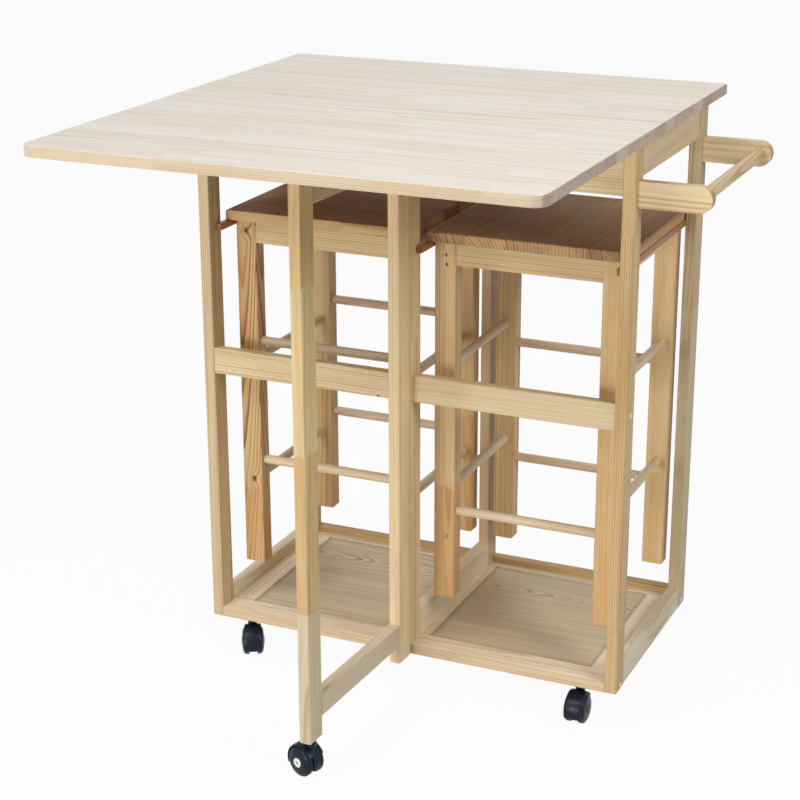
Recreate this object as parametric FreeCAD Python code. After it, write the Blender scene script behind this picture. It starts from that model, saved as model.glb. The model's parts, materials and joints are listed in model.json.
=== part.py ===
import FreeCAD, Part
import math
import os

Vector = FreeCAD.Vector

# A drop-leaf kitchen trolley table: a fixed top on six slim posts, a leaf held up by a
# swing-out gate leg, a tray shelf below, a towel rail at one end, and two stools that
# hang by their seats on runner battens and pull out at the back.
# Millimetres, +Z up, +X towards the towel rail, -Y towards the leaf.
# While the pieces are made, x is 0 in the middle of the frame and y is 0 at the leaf
# joint. The pieces are then moved so that the origin is under the middle of the whole.

# Top and leaf
table_height = 880.0
board_thickness = 15.0
top_length = 700.0
top_depth = 394.0
leaf_depth = 381.0
leaf_joint_gap = 1.2
leaf_corner_radius = 20.0
top_edge_round = 2.0
arris = 1.2

# Frame posts, aprons and front mid rails
end_overhang = 20.0
back_overhang = 22.0
frame_front = 25.0
post_width = 17.0
post_depth = 35.0
caster_height = 58.0
apron_thickness = 15.0
side_apron_height = 57.0
side_apron_recess = 2.0
front_apron_height = 81.0
front_apron_setback = 18.0
mid_rail_bottom = 458.0
mid_rail_height = 40.0
mid_rail_thickness = 15.0
mid_rail_setback = 2.0

# Tray shelf
tray_front_width = 46.0
tray_back_width = 18.0
tray_outer_stile_width = 39.0
tray_inner_stile_width = 18.0
tray_side_height = 35.0
tray_back_height = 25.0
tray_beam_height = 57.0
panel_thickness = 4.0
panel_drop = 2.0
panel_lap = 6.0

# Runner battens for the stool seats
runner_height = 10.0
runner_play = 0.75
runner_setback = 18.0
seat_rest_gap = 0.3

# Stools
seat_depth = 300.0
seat_side_gap = 2.25
seat_headroom = 165.0
seat_round = 3.0
seat_side_overhang = 8.5
seat_front_overhang = 15.0
stool_setback = 46.0
stool_foot_room = 59.0
stool_leg_width = 32.0
stool_leg_depth = 26.0
stool_apron_thickness = 15.0
stool_front_apron_height = 36.0
stool_side_apron_height = 25.0
stool_apron_recess = 2.0
rung_radius = 7.0
rung_socket_depth = 12.0
rung_fit = 0.05
rung_height_shares = (0.25, 0.597)
rung_stagger = 32.0

# Gate leg
gate_reach = 307.0
gate_hinge_gap = 2.0
gate_top_gap = 0.5
gate_top_rail_height = 57.0
gate_bottom_rail_bottom = 86.0
gate_bottom_rail_height = 35.0
gate_short_of_square_deg = 2.7

# Butt hinges of the leaf and of the gate
hinge_length = 42.0
hinge_barrel_radius = 2.6
hinge_pin_radius = 1.2
hinge_fit = 0.05
hinge_knuckle_gap = 0.3
hinge_barrel_clearance = 0.4
leaf_hinge_plate = 1.2
leaf_hinge_reach = 22.0
leaf_hinge_inset = 95.0
gate_hinge_plate = 0.8
gate_hinge_reach = 17.0
gate_hinge_inset = 132.0

# Towel rail
arm_length = 102.0
arm_height = 36.0
arm_thickness = 15.0
towel_bar_radius = 9.0
towel_bar_socket = 8.0

# Screw caps
cap_radius = 4.0
cap_thickness = 1.2
cap_rise = 8.0
cap_drop = 13.0
cap_apron_inset = 55.0

# Casters
caster_inset = 42.0
caster_setback = 17.5
wheel_radius = 22.0
wheel_tread_width = 7.0
wheel_dome_height = 4.0
wheel_dome_middle_share = 0.78
wheel_edge_break = 1.2
wheel_side_gap = 0.5
axle_cap_radius = 6.0
axle_cap_stand = 0.8
web_clearance = 13.0
caster_web = 11.0
hood_gap = 0.8
hood_thickness = 2.0
hood_crown = 1.2
hood_low_deg = -27.0
hood_high_deg = 150.0
caster_trail = 11.0
stem_radius = 4.0
stem_depth = 11.0
stem_fit = 0.05
collar_radius = 7.0
collar_gap = 0.4
axle_radius = 3.0
axle_fit = 0.05
caster_turn_deg = {
    "front_left": -61.0,
    "front_right": -90.0,
    "back_left": -75.0,
    "back_right": -100.0,
    "gate": 159.0,
}

# Cuts run past the faces by this much
overrun = 1.0

# Places that follow from the sizes above
underside = table_height - board_thickness
post_outer = top_length / 2 - end_overhang
post_inner = post_outer - post_width
half_post = post_width / 2
frame_back = top_depth - back_overhang
front_post_back = frame_front + post_depth
back_post_front = frame_back - post_depth
tray_bottom = caster_height
tray_top = tray_bottom + board_thickness
tray_front_back = frame_front + tray_front_width
back_rail_front = frame_back - post_width
tray_back_front = back_rail_front - tray_back_width
arm_top = underside - side_apron_height
arm_middle = arm_top - arm_height / 2
arm_end = post_outer + arm_length
bay_middle = (half_post + post_inner) / 2
seat_width = post_inner - half_post - 2 * seat_side_gap
seat_top = underside - seat_headroom
seat_bottom = seat_top - board_thickness
stool_bottom = tray_top + stool_foot_room
stool_span_across = seat_width - 2 * seat_side_overhang
stool_span_deep = seat_depth - 2 * seat_front_overhang
runner_width = seat_side_gap + seat_side_overhang - runner_play
stool_front = frame_front + stool_setback
caster_front_y = frame_front + caster_setback
caster_back_y = back_rail_front - (tray_back_width - panel_lap) / 2
caster_x = post_inner - caster_inset
gate_axis_x = -half_post - hinge_barrel_radius - hinge_barrel_clearance
gate_axis_y = frame_front - gate_hinge_gap / 2
gate_post_back = frame_front - gate_hinge_gap
gate_post_front = gate_post_back - post_depth
gate_leg_front = frame_front - gate_reach
gate_leg_back = gate_leg_front + post_depth
gate_top = underside - gate_top_gap
leaf_axis_z = underside + hinge_barrel_radius
leaf_hinge_offset = top_length / 2 - leaf_hinge_inset
shift = Vector(-(arm_end - top_length / 2) / 2, -(top_depth - leaf_depth) / 2, 0)

nodes = {}


def box(x0, x1, y0, y1, z0, z1):
    return Part.makeBox(x1 - x0, y1 - y0, z1 - z0, Vector(x0, y0, z0))


def rod(radius, start, direction, length):
    return Part.makeCylinder(radius, length, start, direction)


def edges_along(shape, axis):
    found = []
    for edge in shape.Edges:
        run = edge.Vertexes[-1].Point - edge.Vertexes[0].Point
        if run.Length > 0 and abs(run.dot(axis)) > 0.999 * run.Length:
            found.append(edge)
    return found


def eased(shape, axis):
    # A planed stick whose long edges are lightly broken
    return shape.makeChamfer(arris, edges_along(shape, axis))


def group(shapes):
    return Part.makeCompound(shapes)


along_x = Vector(1, 0, 0)
along_y = Vector(0, 1, 0)
along_z = Vector(0, 0, 1)


# Butt hinge halves about the z axis, from z 0 up. The first and third knuckles and the
# pin are on the fixed half, the middle knuckle is on the moving half.
def knuckle_span(index):
    third = hinge_length / 3
    low = index * third
    high = low + third
    if index > 0:
        low += hinge_knuckle_gap / 2
    if index < 2:
        high -= hinge_knuckle_gap / 2
    return low, high


def hinge_half(knuckles, side, plate_low, plate_thickness, reach):
    near = hinge_barrel_radius + hinge_barrel_clearance
    plate_high = plate_low + plate_thickness
    if side > 0:
        half = box(near, reach, plate_low, plate_high, 0, hinge_length)
    else:
        half = box(-reach, -near, plate_low, plate_high, 0, hinge_length)
    for index in knuckles:
        low, high = knuckle_span(index)
        half = half.fuse(rod(hinge_barrel_radius, Vector(0, 0, low), along_z, high - low))
        if side > 0:
            tab = box(0, near, plate_low, plate_high, low, high)
        else:
            tab = box(-near, 0, plate_low, plate_high, low, high)
        half = half.fuse(tab)
    return half.removeSplitter()


def with_pin(half):
    return half.fuse(rod(hinge_pin_radius, Vector(0, 0, 0), along_z, hinge_length)).removeSplitter()


def with_pin_hole(half):
    hole = rod(hinge_pin_radius + hinge_fit, Vector(0, 0, -overrun), along_z, hinge_length + 2 * overrun)
    return half.cut(hole)


def on_leaf_joint(shape, x):
    # Turn the hinge's own z axis to run along x, with its plates flush in the undersides
    placed = shape.copy()
    placed.rotate(Vector(0, 0, 0), Vector(1, 1, 1), 120)
    placed.translate(Vector(x - hinge_length / 2, 0, leaf_axis_z))
    return placed


leaf_hinge_places = (-leaf_hinge_offset, 0, leaf_hinge_offset)
leaf_plate_low = -hinge_barrel_radius
leaf_fixed_half = with_pin(hinge_half((0, 2), 1, leaf_plate_low, leaf_hinge_plate, leaf_hinge_reach))
leaf_moving_half = with_pin_hole(hinge_half((1,), -1, leaf_plate_low, leaf_hinge_plate, leaf_hinge_reach))
nodes["leaf_hinge_fixed_halves"] = group([on_leaf_joint(leaf_fixed_half, x) for x in leaf_hinge_places])
nodes["leaf_hinge_moving_halves"] = group([on_leaf_joint(leaf_moving_half, x) for x in leaf_hinge_places])


# Fixed top and leaf, with the hinges let in flush underneath
def hinge_recess(x):
    half_length = hinge_length / 2
    near = hinge_barrel_radius + hinge_barrel_clearance
    low = underside - overrun
    barrel_room = leaf_axis_z + near
    plates = box(x - half_length, x + half_length, -leaf_hinge_reach, leaf_hinge_reach,
                 low, underside + leaf_hinge_plate)
    barrel = box(x - half_length, x + half_length, -near, near, low, barrel_room)
    return plates.fuse(barrel)


def top_edges(shape, skip_y):
    found = []
    for edge in shape.Edges:
        heights = [vertex.Z for vertex in edge.Vertexes]
        joint = all(abs(vertex.Y - skip_y) < arris for vertex in edge.Vertexes)
        if min(heights) > table_height - arris and not joint:
            found.append(edge)
    return found


half_length = top_length / 2
half_gap = leaf_joint_gap / 2
top = box(-half_length, half_length, half_gap, top_depth, underside, table_height)
top = top.makeFillet(top_edge_round, top_edges(top, half_gap))
leaf = box(-half_length, half_length, -leaf_depth, -half_gap, underside, table_height)
front_corners = [edge for edge in edges_along(leaf, along_z) if edge.Vertexes[0].Y < -half_gap - arris]
leaf = leaf.makeFillet(leaf_corner_radius, front_corners)
leaf = leaf.makeFillet(top_edge_round, top_edges(leaf, -half_gap))
for x in leaf_hinge_places:
    top = top.cut(hinge_recess(x))
    leaf = leaf.cut(hinge_recess(x))
nodes["top_fixed"] = top
nodes["leaf"] = leaf

# Posts: three in front, three at the back, from the tray's underside up to the top
post_places = {"left": -post_outer + half_post, "centre": 0, "right": post_outer - half_post}
for side, x in post_places.items():
    for row, y in (("front", frame_front), ("back", back_post_front)):
        post = box(x - half_post, x + half_post, y, y + post_depth, tray_bottom, underside)
        nodes["post_" + row + "_" + side] = eased(post, along_z)


# Pieces that fill one bay, made for the left bay or the right bay
def bay_box(side, inner, outer, y0, y1, z0, z1):
    if side == "left":
        return box(-outer, -inner, y0, y1, z0, z1)
    return box(inner, outer, y0, y1, z0, z1)


front_apron_y = frame_front + front_apron_setback
apron_low = underside - side_apron_height
mid_y = frame_front + mid_rail_setback
panel_top = tray_top - panel_drop
stiles = []
runners = []
for side in ("left", "right"):
    outer_face = post_outer - side_apron_recess
    apron = bay_box(side, outer_face - apron_thickness, outer_face, front_post_back, back_post_front,
                    apron_low, underside)
    nodes["apron_side_" + side] = eased(apron, along_y)
    apron = bay_box(side, half_post, post_inner, front_apron_y, front_apron_y + apron_thickness,
                    underside - front_apron_height, underside)
    nodes["apron_front_" + side] = eased(apron, along_x)
    apron = bay_box(side, half_post, post_inner, frame_back - apron_thickness, frame_back,
                    apron_low, underside)
    nodes["apron_back_" + side] = eased(apron, along_x)
    rail = bay_box(side, half_post, post_inner, mid_y, mid_y + mid_rail_thickness,
                   mid_rail_bottom, mid_rail_bottom + mid_rail_height)
    nodes["mid_rail_" + side] = eased(rail, along_x)
    edge_rail = bay_box(side, post_inner, post_outer, front_post_back, back_post_front,
                        tray_bottom, tray_bottom + tray_side_height)
    nodes["tray_side_rail_" + side] = eased(edge_rail, along_y)
    edge_rail = bay_box(side, half_post, post_inner, back_rail_front, frame_back,
                        tray_bottom, tray_bottom + tray_back_height)
    nodes["tray_back_rail_" + side] = eased(edge_rail, along_x)

    # The plywood panel lies in a rebate that runs round the flat boards
    inner_stile = half_post + tray_inner_stile_width
    outer_stile = post_inner - tray_outer_stile_width
    panel = bay_box(side, inner_stile - panel_lap, outer_stile + panel_lap,
                    tray_front_back - panel_lap, tray_back_front + panel_lap,
                    panel_top - panel_thickness, panel_top)
    rebate = bay_box(side, inner_stile - panel_lap, outer_stile + panel_lap,
                     tray_front_back - panel_lap, tray_back_front + panel_lap,
                     panel_top - panel_thickness, tray_top + overrun)
    nodes["tray_panel_" + side] = panel
    front_board = bay_box(side, half_post, post_inner, frame_front, tray_front_back, tray_bottom, tray_top)
    nodes["tray_front_board_" + side] = front_board.cut(rebate)
    back_board = bay_box(side, half_post, post_inner, tray_back_front, back_rail_front, tray_bottom, tray_top)
    nodes["tray_back_board_" + side] = back_board.cut(rebate)
    for inner, outer in ((half_post, inner_stile), (outer_stile, post_inner)):
        stile = bay_box(side, inner, outer, tray_front_back, tray_back_front, tray_bottom, tray_top)
        stiles.append(stile.cut(rebate))
    runner_top = seat_bottom - seat_rest_gap
    for inner, outer in ((half_post, half_post + runner_width), (post_inner - runner_width, post_inner)):
        runner = bay_box(side, inner, outer, frame_front + runner_setback, frame_back - runner_setback,
                         runner_top - runner_height, runner_top)
        runners.append(eased(runner, along_y))
nodes["tray_stiles"] = group(stiles)
nodes["seat_runners"] = group(runners)
beam = box(-half_post, half_post, front_post_back, back_post_front, tray_bottom, tray_bottom + tray_beam_height)
nodes["tray_centre_beam"] = eased(beam, along_y)


# Towel rail: arms with half-round ends screwed to the right posts, and a bar let into both
def towel_arm(y0, y1):
    radius = arm_height / 2
    arm = box(post_outer, arm_end - radius, y0, y1, arm_middle - radius, arm_middle + radius)
    arm = arm.fuse(rod(radius, Vector(arm_end - radius, y0, arm_middle), along_y, y1 - y0))
    return arm.removeSplitter()


half_arm = arm_thickness / 2
front_arm_y = frame_front + post_depth / 2
back_arm_y = back_post_front + post_depth / 2
bar_x = arm_end - arm_height / 2
bar_start = front_arm_y + half_arm - towel_bar_socket
bar_length = back_arm_y - half_arm + towel_bar_socket - bar_start
bar = rod(towel_bar_radius, Vector(bar_x, bar_start, arm_middle), along_y, bar_length)
nodes["towel_arm_front"] = towel_arm(front_arm_y - half_arm, front_arm_y + half_arm).cut(bar)
nodes["towel_arm_back"] = towel_arm(back_arm_y - half_arm, back_arm_y + half_arm).cut(bar)
nodes["towel_bar"] = bar

# Push-in screw caps on the outer faces of the end frames
mid_rail_middle = mid_rail_bottom + mid_rail_height / 2
apron_face = post_outer - side_apron_recess
cap_low = tray_bottom + cap_rise
cap_high = underside - cap_drop
cap_places = [
    (post_outer, front_arm_y, cap_low),
    (post_outer, back_arm_y, cap_low),
    (post_outer, front_arm_y, mid_rail_middle),
    (apron_face, front_post_back + cap_apron_inset, cap_high),
    (apron_face, back_post_front - cap_apron_inset, cap_high),
]
caps = []
for face, y, z in cap_places:
    caps.append(rod(cap_radius, Vector(face, y, z), along_x, cap_thickness))
    caps.append(rod(cap_radius, Vector(-face, y, z), -along_x, cap_thickness))
nodes["screw_caps"] = group(caps)

# Gate leg: made square to the front, then turned to where it stands
gate_axis = Vector(gate_axis_x, gate_axis_y, 0)


def on_gate(shape):
    placed = shape.copy()
    placed.rotate(gate_axis, along_z, -gate_short_of_square_deg)
    return placed


gate_post = box(-half_post, half_post, gate_post_front, gate_post_back, tray_bottom, gate_top)
nodes["gate_pivot_post"] = on_gate(eased(gate_post, along_z))
gate_leg = eased(box(-half_post, half_post, gate_leg_front, gate_leg_back, caster_height, gate_top), along_z)
gate_leg_middle = Vector(0, (gate_leg_front + gate_leg_back) / 2, caster_height)
gate_socket = rod(stem_radius + stem_fit, gate_leg_middle, along_z, stem_depth + collar_gap)
nodes["gate_swing_leg"] = on_gate(gate_leg.cut(gate_socket))
gate_rail = box(-half_post, half_post, gate_leg_back, gate_post_front, gate_top - gate_top_rail_height, gate_top)
nodes["gate_top_rail"] = on_gate(eased(gate_rail, along_y))
gate_rail_top = gate_bottom_rail_bottom + gate_bottom_rail_height
gate_rail = box(-half_post, half_post, gate_leg_back, gate_post_front, gate_bottom_rail_bottom, gate_rail_top)
nodes["gate_bottom_rail"] = on_gate(eased(gate_rail, along_y))

half_hinge_gap = gate_hinge_gap / 2
gate_fixed_low = half_hinge_gap - gate_hinge_plate
gate_fixed = with_pin(hinge_half((0, 2), 1, gate_fixed_low, gate_hinge_plate, gate_hinge_reach))
gate_moving = with_pin_hole(hinge_half((1,), 1, -half_hinge_gap, gate_hinge_plate, gate_hinge_reach))
fixed_halves = []
moving_halves = []
for z in (tray_bottom + gate_hinge_inset, underside - gate_hinge_inset - hinge_length):
    place = gate_axis + Vector(0, 0, z)
    fixed = gate_fixed.copy()
    fixed.translate(place)
    fixed_halves.append(fixed)
    moving = gate_moving.copy()
    moving.translate(place)
    moving_halves.append(on_gate(moving))
nodes["gate_hinge_fixed_halves"] = group(fixed_halves)
nodes["gate_hinge_moving_halves"] = group(moving_halves)


# Twin-wheel swivel casters. The stem is on the z axis, the wheels trail towards +x.
def at_angle(radius, angle_deg):
    angle = math.radians(angle_deg)
    return Vector(caster_trail + radius * math.cos(angle), 0, wheel_radius + radius * math.sin(angle))


wheel_inner = caster_web / 2 + wheel_side_gap
tread_outer = wheel_inner + wheel_tread_width
wheel_outer = tread_outer + wheel_dome_height
hood_inner = wheel_radius + hood_gap
hood_outer = hood_inner + hood_thickness
axle_middle = Vector(caster_trail, 0, wheel_radius)


def caster_hood():
    # A curved strip, crowned across its width, swept round the axle
    def corner(aside, radius):
        return at_angle(radius, hood_low_deg) + Vector(0, aside, 0)

    crown = Part.Arc(corner(tread_outer, hood_outer), corner(0, hood_outer + hood_crown),
                     corner(-tread_outer, hood_outer))
    sides = Part.makePolygon([corner(-tread_outer, hood_outer), corner(-tread_outer, hood_inner),
                              corner(tread_outer, hood_inner), corner(tread_outer, hood_outer)])
    section = Part.Face(Part.Wire([crown.toShape()] + sides.Edges))
    return section.revolve(axle_middle, -along_y, hood_high_deg - hood_low_deg)


def caster_fork():
    half_web = caster_web / 2
    web_radius = hood_inner + hood_thickness / 2
    web = rod(web_radius, axle_middle - Vector(0, half_web, 0), along_y, caster_web)
    below = box(caster_trail - web_radius, caster_trail + web_radius, -half_web - overrun, half_web + overrun,
                -overrun - web_radius, web_clearance)
    fork = caster_hood().fuse(web.cut(below))
    collar_low = wheel_radius + hood_outer / 2
    collar = rod(collar_radius, Vector(0, 0, collar_low), along_z, caster_height - collar_gap - collar_low)
    wheel_room = rod(hood_inner, axle_middle - Vector(0, wheel_outer, 0), along_y, 2 * wheel_outer)
    web_room = rod(hood_inner, axle_middle - Vector(0, half_web, 0), along_y, caster_web)
    collar = collar.cut(wheel_room.cut(web_room))
    stem = rod(stem_radius, Vector(0, 0, caster_height - collar_gap - overrun), along_z,
               overrun + collar_gap + stem_depth)
    fork = fork.fuse(collar).fuse(stem)
    bore = rod(axle_radius + axle_fit, axle_middle - Vector(0, wheel_outer, 0), along_y, 2 * wheel_outer)
    return fork.cut(bore).removeSplitter()


def caster_wheel(sign):
    # Flat inside, a narrow tread, and a domed outer face that carries the axle cap
    def point(aside, radius):
        return axle_middle + Vector(0, sign * aside, radius)

    dome_middle = point(tread_outer + wheel_dome_middle_share * wheel_dome_height,
                        (wheel_radius + axle_cap_radius) / 2)
    dome = Part.Arc(point(tread_outer, wheel_radius), dome_middle, point(wheel_outer, axle_cap_radius))
    cap = Part.makePolygon([point(wheel_outer, axle_cap_radius),
                            point(wheel_outer + axle_cap_stand, axle_cap_radius),
                            point(wheel_outer + axle_cap_stand, 0), point(wheel_inner, 0),
                            point(wheel_inner, wheel_radius), point(tread_outer, wheel_radius)])
    wheel = Part.Face(Part.Wire([dome.toShape()] + cap.Edges)).revolve(axle_middle, along_y, 360)
    rims = [edge for edge in wheel.Edges if edge.BoundBox.ZLength > 2 * wheel_radius - wheel_edge_break]
    return wheel.makeChamfer(wheel_edge_break, [edge for edge in rims if edge.BoundBox.YLength < wheel_edge_break])


def caster_wheel_pair():
    axle = rod(axle_radius, axle_middle - Vector(0, wheel_outer, 0), along_y, 2 * wheel_outer)
    return axle.fuse(caster_wheel(1)).fuse(caster_wheel(-1)).removeSplitter()


def turned_gate_place(place):
    return FreeCAD.Rotation(along_z, -gate_short_of_square_deg).multVec(place - gate_axis) + gate_axis


fork = caster_fork()
wheel_pair = caster_wheel_pair()
caster_places = {
    "front_left": Vector(-caster_x, caster_front_y, 0),
    "front_right": Vector(caster_x, caster_front_y, 0),
    "back_left": Vector(-caster_x, caster_back_y, 0),
    "back_right": Vector(caster_x, caster_back_y, 0),
    "gate": turned_gate_place(Vector(gate_leg_middle.x, gate_leg_middle.y, 0)),
}
caster_boards = {
    "front_left": "tray_front_board_left",
    "front_right": "tray_front_board_right",
    "back_left": "tray_back_board_left",
    "back_right": "tray_back_board_right",
}
for name, place in caster_places.items():
    turn = caster_turn_deg[name]
    for piece, shape in (("fork", fork), ("wheels", wheel_pair)):
        placed = shape.copy()
        placed.rotate(Vector(0, 0, 0), along_z, turn)
        placed.translate(place)
        nodes["caster_" + piece + "_" + name] = placed
    if name in caster_boards:
        socket = rod(stem_radius + stem_fit, place + Vector(0, 0, caster_height), along_z, stem_depth + collar_gap)
        nodes[caster_boards[name]] = nodes[caster_boards[name]].cut(socket)
    axle = FreeCAD.Rotation(along_z, turn).multVec(axle_middle) + place + shift
    stem_place = place + shift
    print(name, "stem", [round(v, 3) for v in stem_place], "axle", [round(v, 3) for v in axle], "turn", turn)


# A stool, made about its own middle. The rungs at front and back are higher than those
# at the sides, or lower on the stool that is turned the other way.
def stool(middle_x, middle_y, front_rungs_high):
    half_width = seat_width / 2
    half_depth = seat_depth / 2
    half_across = stool_span_across / 2
    half_deep = stool_span_deep / 2
    seat = box(-half_width, half_width, -half_depth, half_depth, seat_bottom, seat_top)
    upper = [edge for edge in seat.Edges if min(v.Z for v in edge.Vertexes) > seat_top - arris]
    seat = seat.makeFillet(seat_round, upper)

    low_set = [stool_bottom + share * (seat_bottom - stool_bottom) for share in rung_height_shares]
    high_set = [height + rung_stagger for height in low_set]
    front_set = high_set if front_rungs_high else low_set
    side_set = low_set if front_rungs_high else high_set
    across_length = stool_span_across - 2 * stool_leg_width + 2 * rung_socket_depth
    deep_length = stool_span_deep - 2 * stool_leg_depth + 2 * rung_socket_depth
    rung_y = half_deep - stool_leg_depth / 2
    rung_x = half_across - stool_leg_width / 2

    def rungs(radius):
        made = []
        for sign in (-1, 1):
            for height in front_set:
                start = Vector(-across_length / 2, sign * rung_y, height)
                made.append(rod(radius, start, along_x, across_length))
            for height in side_set:
                start = Vector(sign * rung_x, -deep_length / 2, height)
                made.append(rod(radius, start, along_y, deep_length))
        return made

    sockets = group(rungs(rung_radius + rung_fit))
    legs = []
    aprons = []
    for sign_x in (-1, 1):
        for sign_y in (-1, 1):
            x0, x1 = sorted((sign_x * half_across, sign_x * (half_across - stool_leg_width)))
            y0, y1 = sorted((sign_y * half_deep, sign_y * (half_deep - stool_leg_depth)))
            leg = eased(box(x0, x1, y0, y1, stool_bottom, seat_bottom), along_z)
            legs.append(leg.cut(sockets))
    reach_x = half_across - stool_leg_width
    reach_y = half_deep - stool_leg_depth
    for sign in (-1, 1):
        face = half_deep - stool_apron_recess
        y0, y1 = sorted((sign * face, sign * (face - stool_apron_thickness)))
        apron = box(-reach_x, reach_x, y0, y1, seat_bottom - stool_front_apron_height, seat_bottom)
        aprons.append(apron)
        face = half_across - stool_apron_recess
        x0, x1 = sorted((sign * face, sign * (face - stool_apron_thickness)))
        apron = box(x0, x1, -reach_y, reach_y, seat_bottom - stool_side_apron_height, seat_bottom)
        aprons.append(apron)
    pieces = {"seat": seat, "legs": group(legs), "aprons": group(aprons), "rungs": group(rungs(rung_radius))}
    for piece in pieces.values():
        piece.translate(Vector(middle_x, middle_y, 0))
    return pieces


stool_y = stool_front + seat_depth / 2
for side, x, front_high in (("left", -bay_middle, True), ("right", bay_middle, False)):
    for piece, shape in stool(x, stool_y, front_high).items():
        nodes["stool_" + side + "_" + piece] = shape

gate_place = gate_axis + shift
print("gate axis", [round(v, 3) for v in gate_place], "leaf axis y z", round(shift.y, 3), round(leaf_axis_z, 3))
print("shift", [round(v, 3) for v in shift], "pieces", len(nodes))

os.makedirs("parts", exist_ok=True)
for name, shape in nodes.items():
    shape.translate(shift)
    shape.exportStep("parts/" + name + ".step")
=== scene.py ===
# %% [markdown]
# # A drop-leaf kitchen trolley in clear-finished pine
# The table stands on small black casters. A leaf is held up by a gate leg that swings out, a tray
# shelf closes the bottom, and two stools hang inside by their seats. Almost everything is planed
# pine under a thin clear lacquer, so the lesson is mostly about one good wood material: how it is
# built once, and then turned, scaled and tinted for each stick and board.

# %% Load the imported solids
import json
import math
import bmesh
import bpy
from mathutils import Euler, Matrix, Vector


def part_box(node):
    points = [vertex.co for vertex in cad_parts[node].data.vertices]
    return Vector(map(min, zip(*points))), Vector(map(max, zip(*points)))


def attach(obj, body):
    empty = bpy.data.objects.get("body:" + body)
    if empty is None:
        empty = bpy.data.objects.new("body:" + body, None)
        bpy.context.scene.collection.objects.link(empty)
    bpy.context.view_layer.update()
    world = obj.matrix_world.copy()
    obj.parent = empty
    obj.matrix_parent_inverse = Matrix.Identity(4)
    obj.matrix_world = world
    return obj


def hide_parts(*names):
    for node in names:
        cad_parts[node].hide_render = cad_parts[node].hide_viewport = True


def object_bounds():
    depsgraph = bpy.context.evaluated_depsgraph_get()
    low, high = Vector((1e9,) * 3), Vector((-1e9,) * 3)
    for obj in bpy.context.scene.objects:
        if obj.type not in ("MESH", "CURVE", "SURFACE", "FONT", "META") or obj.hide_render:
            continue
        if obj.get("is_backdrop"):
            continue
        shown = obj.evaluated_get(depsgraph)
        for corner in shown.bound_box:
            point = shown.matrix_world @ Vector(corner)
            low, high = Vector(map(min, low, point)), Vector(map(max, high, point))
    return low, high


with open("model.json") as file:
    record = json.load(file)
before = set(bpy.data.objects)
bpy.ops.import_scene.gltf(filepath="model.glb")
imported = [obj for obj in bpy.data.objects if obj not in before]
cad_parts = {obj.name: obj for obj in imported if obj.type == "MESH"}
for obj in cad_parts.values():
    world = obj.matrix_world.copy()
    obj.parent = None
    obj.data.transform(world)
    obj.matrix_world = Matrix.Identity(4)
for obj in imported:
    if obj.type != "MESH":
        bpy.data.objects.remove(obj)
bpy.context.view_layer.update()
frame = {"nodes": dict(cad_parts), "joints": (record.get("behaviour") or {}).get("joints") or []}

nodes = frame["nodes"]

# %% [markdown]
# ## The camera
# The photograph was taken from the front right, a little above the top. Its lens and place were
# worked out from the table's own square corners, so the camera is set by one matrix: first the
# turn about the upright axis, then the tilt, then the picture's small roll.

# %% Camera at the photograph's view
photo_width_px = 800
focal_length_px = 1917.76
sensor_mm = 36.0
camera_place = Vector((1.0170, -2.3523, 1.3721))
camera_azimuth_deg = 24.22
camera_elevation_deg = 19.35
camera_roll_deg = -0.16

camera_data = bpy.data.cameras.new("photo_camera")
camera_data.sensor_width = sensor_mm
camera_data.lens = focal_length_px * sensor_mm / photo_width_px
camera = bpy.data.objects.new("photo_camera", camera_data)
bpy.context.scene.collection.objects.link(camera)
turn = Matrix.Rotation(math.radians(camera_azimuth_deg), 4, "Z")
tilt = Matrix.Rotation(math.radians(90 - camera_elevation_deg), 4, "X")
roll = Matrix.Rotation(math.radians(camera_roll_deg), 4, "Z")
camera.matrix_world = Matrix.Translation(camera_place) @ turn @ tilt @ roll
bpy.context.scene.camera = camera
print("lens", round(camera_data.lens, 2), "mm")

# %% [markdown]
# ## Two small tools for materials
# Colours are easiest to pick as sRGB hex values, but shaders count in linear light, so one function
# turns the one into the other. A second function adds a shader node, sets it up and links it, and
# gives back one of its outputs, so a chain of nodes reads like a sum. Sockets go by name or number. In
# a Mix node, 4 and 5 are two vectors and 6 and 7 two colours. In a Map Range node, 1 and 2 are the ends
# of the range that is read, and 3 and 4 those of the range that is given.

# %% Colour and node helpers
mm_per_metre = 1000


def linear(hex_colour):
    # The sRGB curve has a short straight start and then follows a power
    channels = []
    for start in (0, 2, 4):
        value = int(hex_colour[start:start + 2], 16) / 255
        channels.append(value / 12.92 if value <= 0.04045 else ((value + 0.055) / 1.055) ** 2.4)
    return (*channels, 1.0)


def add(tree, kind, links=None, out=0, **settings):
    made = tree.nodes.new("ShaderNode" + kind)
    for name, value in settings.items():
        setattr(made, name, value)
    for socket, value in (links or {}).items():
        if isinstance(value, bpy.types.NodeSocket):
            tree.links.new(value, made.inputs[socket])
        else:
            made.inputs[socket].default_value = value
    return made.outputs[out]


print("mid grey", [round(c, 3) for c in linear("808080")])

# %% [markdown]
# ## Pine, first step: which way the grain runs
# A stick of pine shows long streaks on its sides and arcs on its ends because both are cuts through
# the same growth rings. So the pattern isn't painted on each face: it is a block of wood in three
# dimensions, counted in millimetres from the piece's middle. A Mapping node turns each piece so that
# its grain runs along the first axis.
#
# The stools' aprons and rungs are made as one solid group each, with some pieces running across and
# some front to back. There, a point nearer to the sides than to the front belongs to a piece that
# runs front to back, so the two turns are mixed by that test.

# %% Turn a place and a facing to the grain
quarter_turn = math.pi / 2
grain_turns = {"X": Euler((0, 0, 0)), "Y": Euler((0, 0, -quarter_turn)), "Z": Euler((0, quarter_turn, 0))}


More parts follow.
